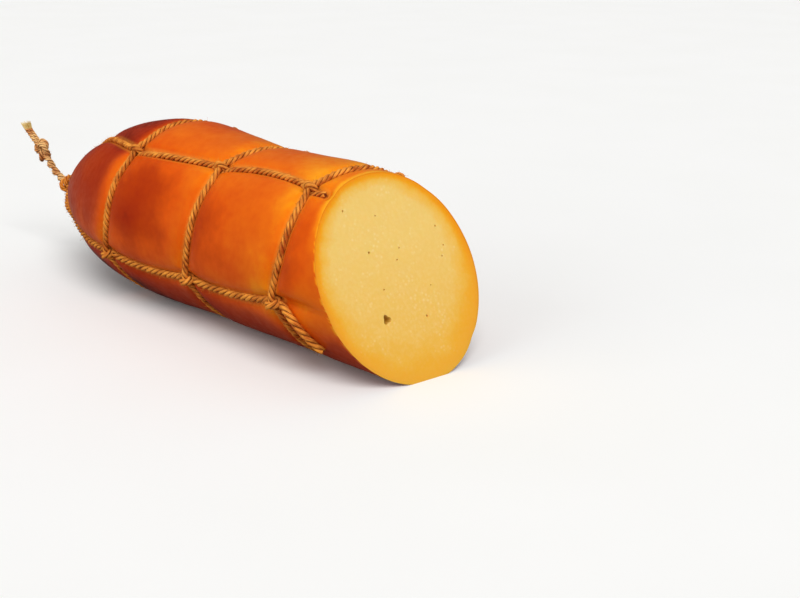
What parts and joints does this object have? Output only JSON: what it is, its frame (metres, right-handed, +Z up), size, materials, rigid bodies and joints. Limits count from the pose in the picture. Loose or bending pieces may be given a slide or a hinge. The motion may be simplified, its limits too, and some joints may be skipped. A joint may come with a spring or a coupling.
{
  "type": "smoked cheese log",
  "caption": "Smoked cheese log tied in a twine net with a knotted hanging tail, front end cut off flat, lying on its underside.",
  "frame": {"origin": "a point on the resting flat under the log, midway between the middle and the front hoop of twine", "axes": "+X runs along the log from the tied end to the cut face, +Z is up, +Y is to the left when looking along +X"},
  "size_m": [0.4915, 0.1331, 0.1311],
  "materials": {
    "cheese": "smooth waxy smoked rind, paler paste on the cut face",
    "net_twine": "smoke-stained plied plant-fibre twine",
    "tail_twine": "unstained plied plant-fibre twine",
    "frayed_fibre": "loose pale plant fibre"
  },
  "bodies": {
    "root": {"cheese": "cheese", "hoop_rear": "net_twine", "hoop_middle": "net_twine", "hoop_front": "net_twine", "strand_far_upper": "net_twine", "strand_near_upper": "net_twine", "strand_near_lower": "net_twine", "strand_far_lower": "net_twine", "crown_knot": "net_twine", "tail_cord": "tail_twine", "tail_knot": "tail_twine", "tail_end_1": "tail_twine", "tail_end_2": "tail_twine", "tail_tuft_1": "frayed_fibre", "tail_tuft_2": "frayed_fibre"}
  },
  "joints": []
}
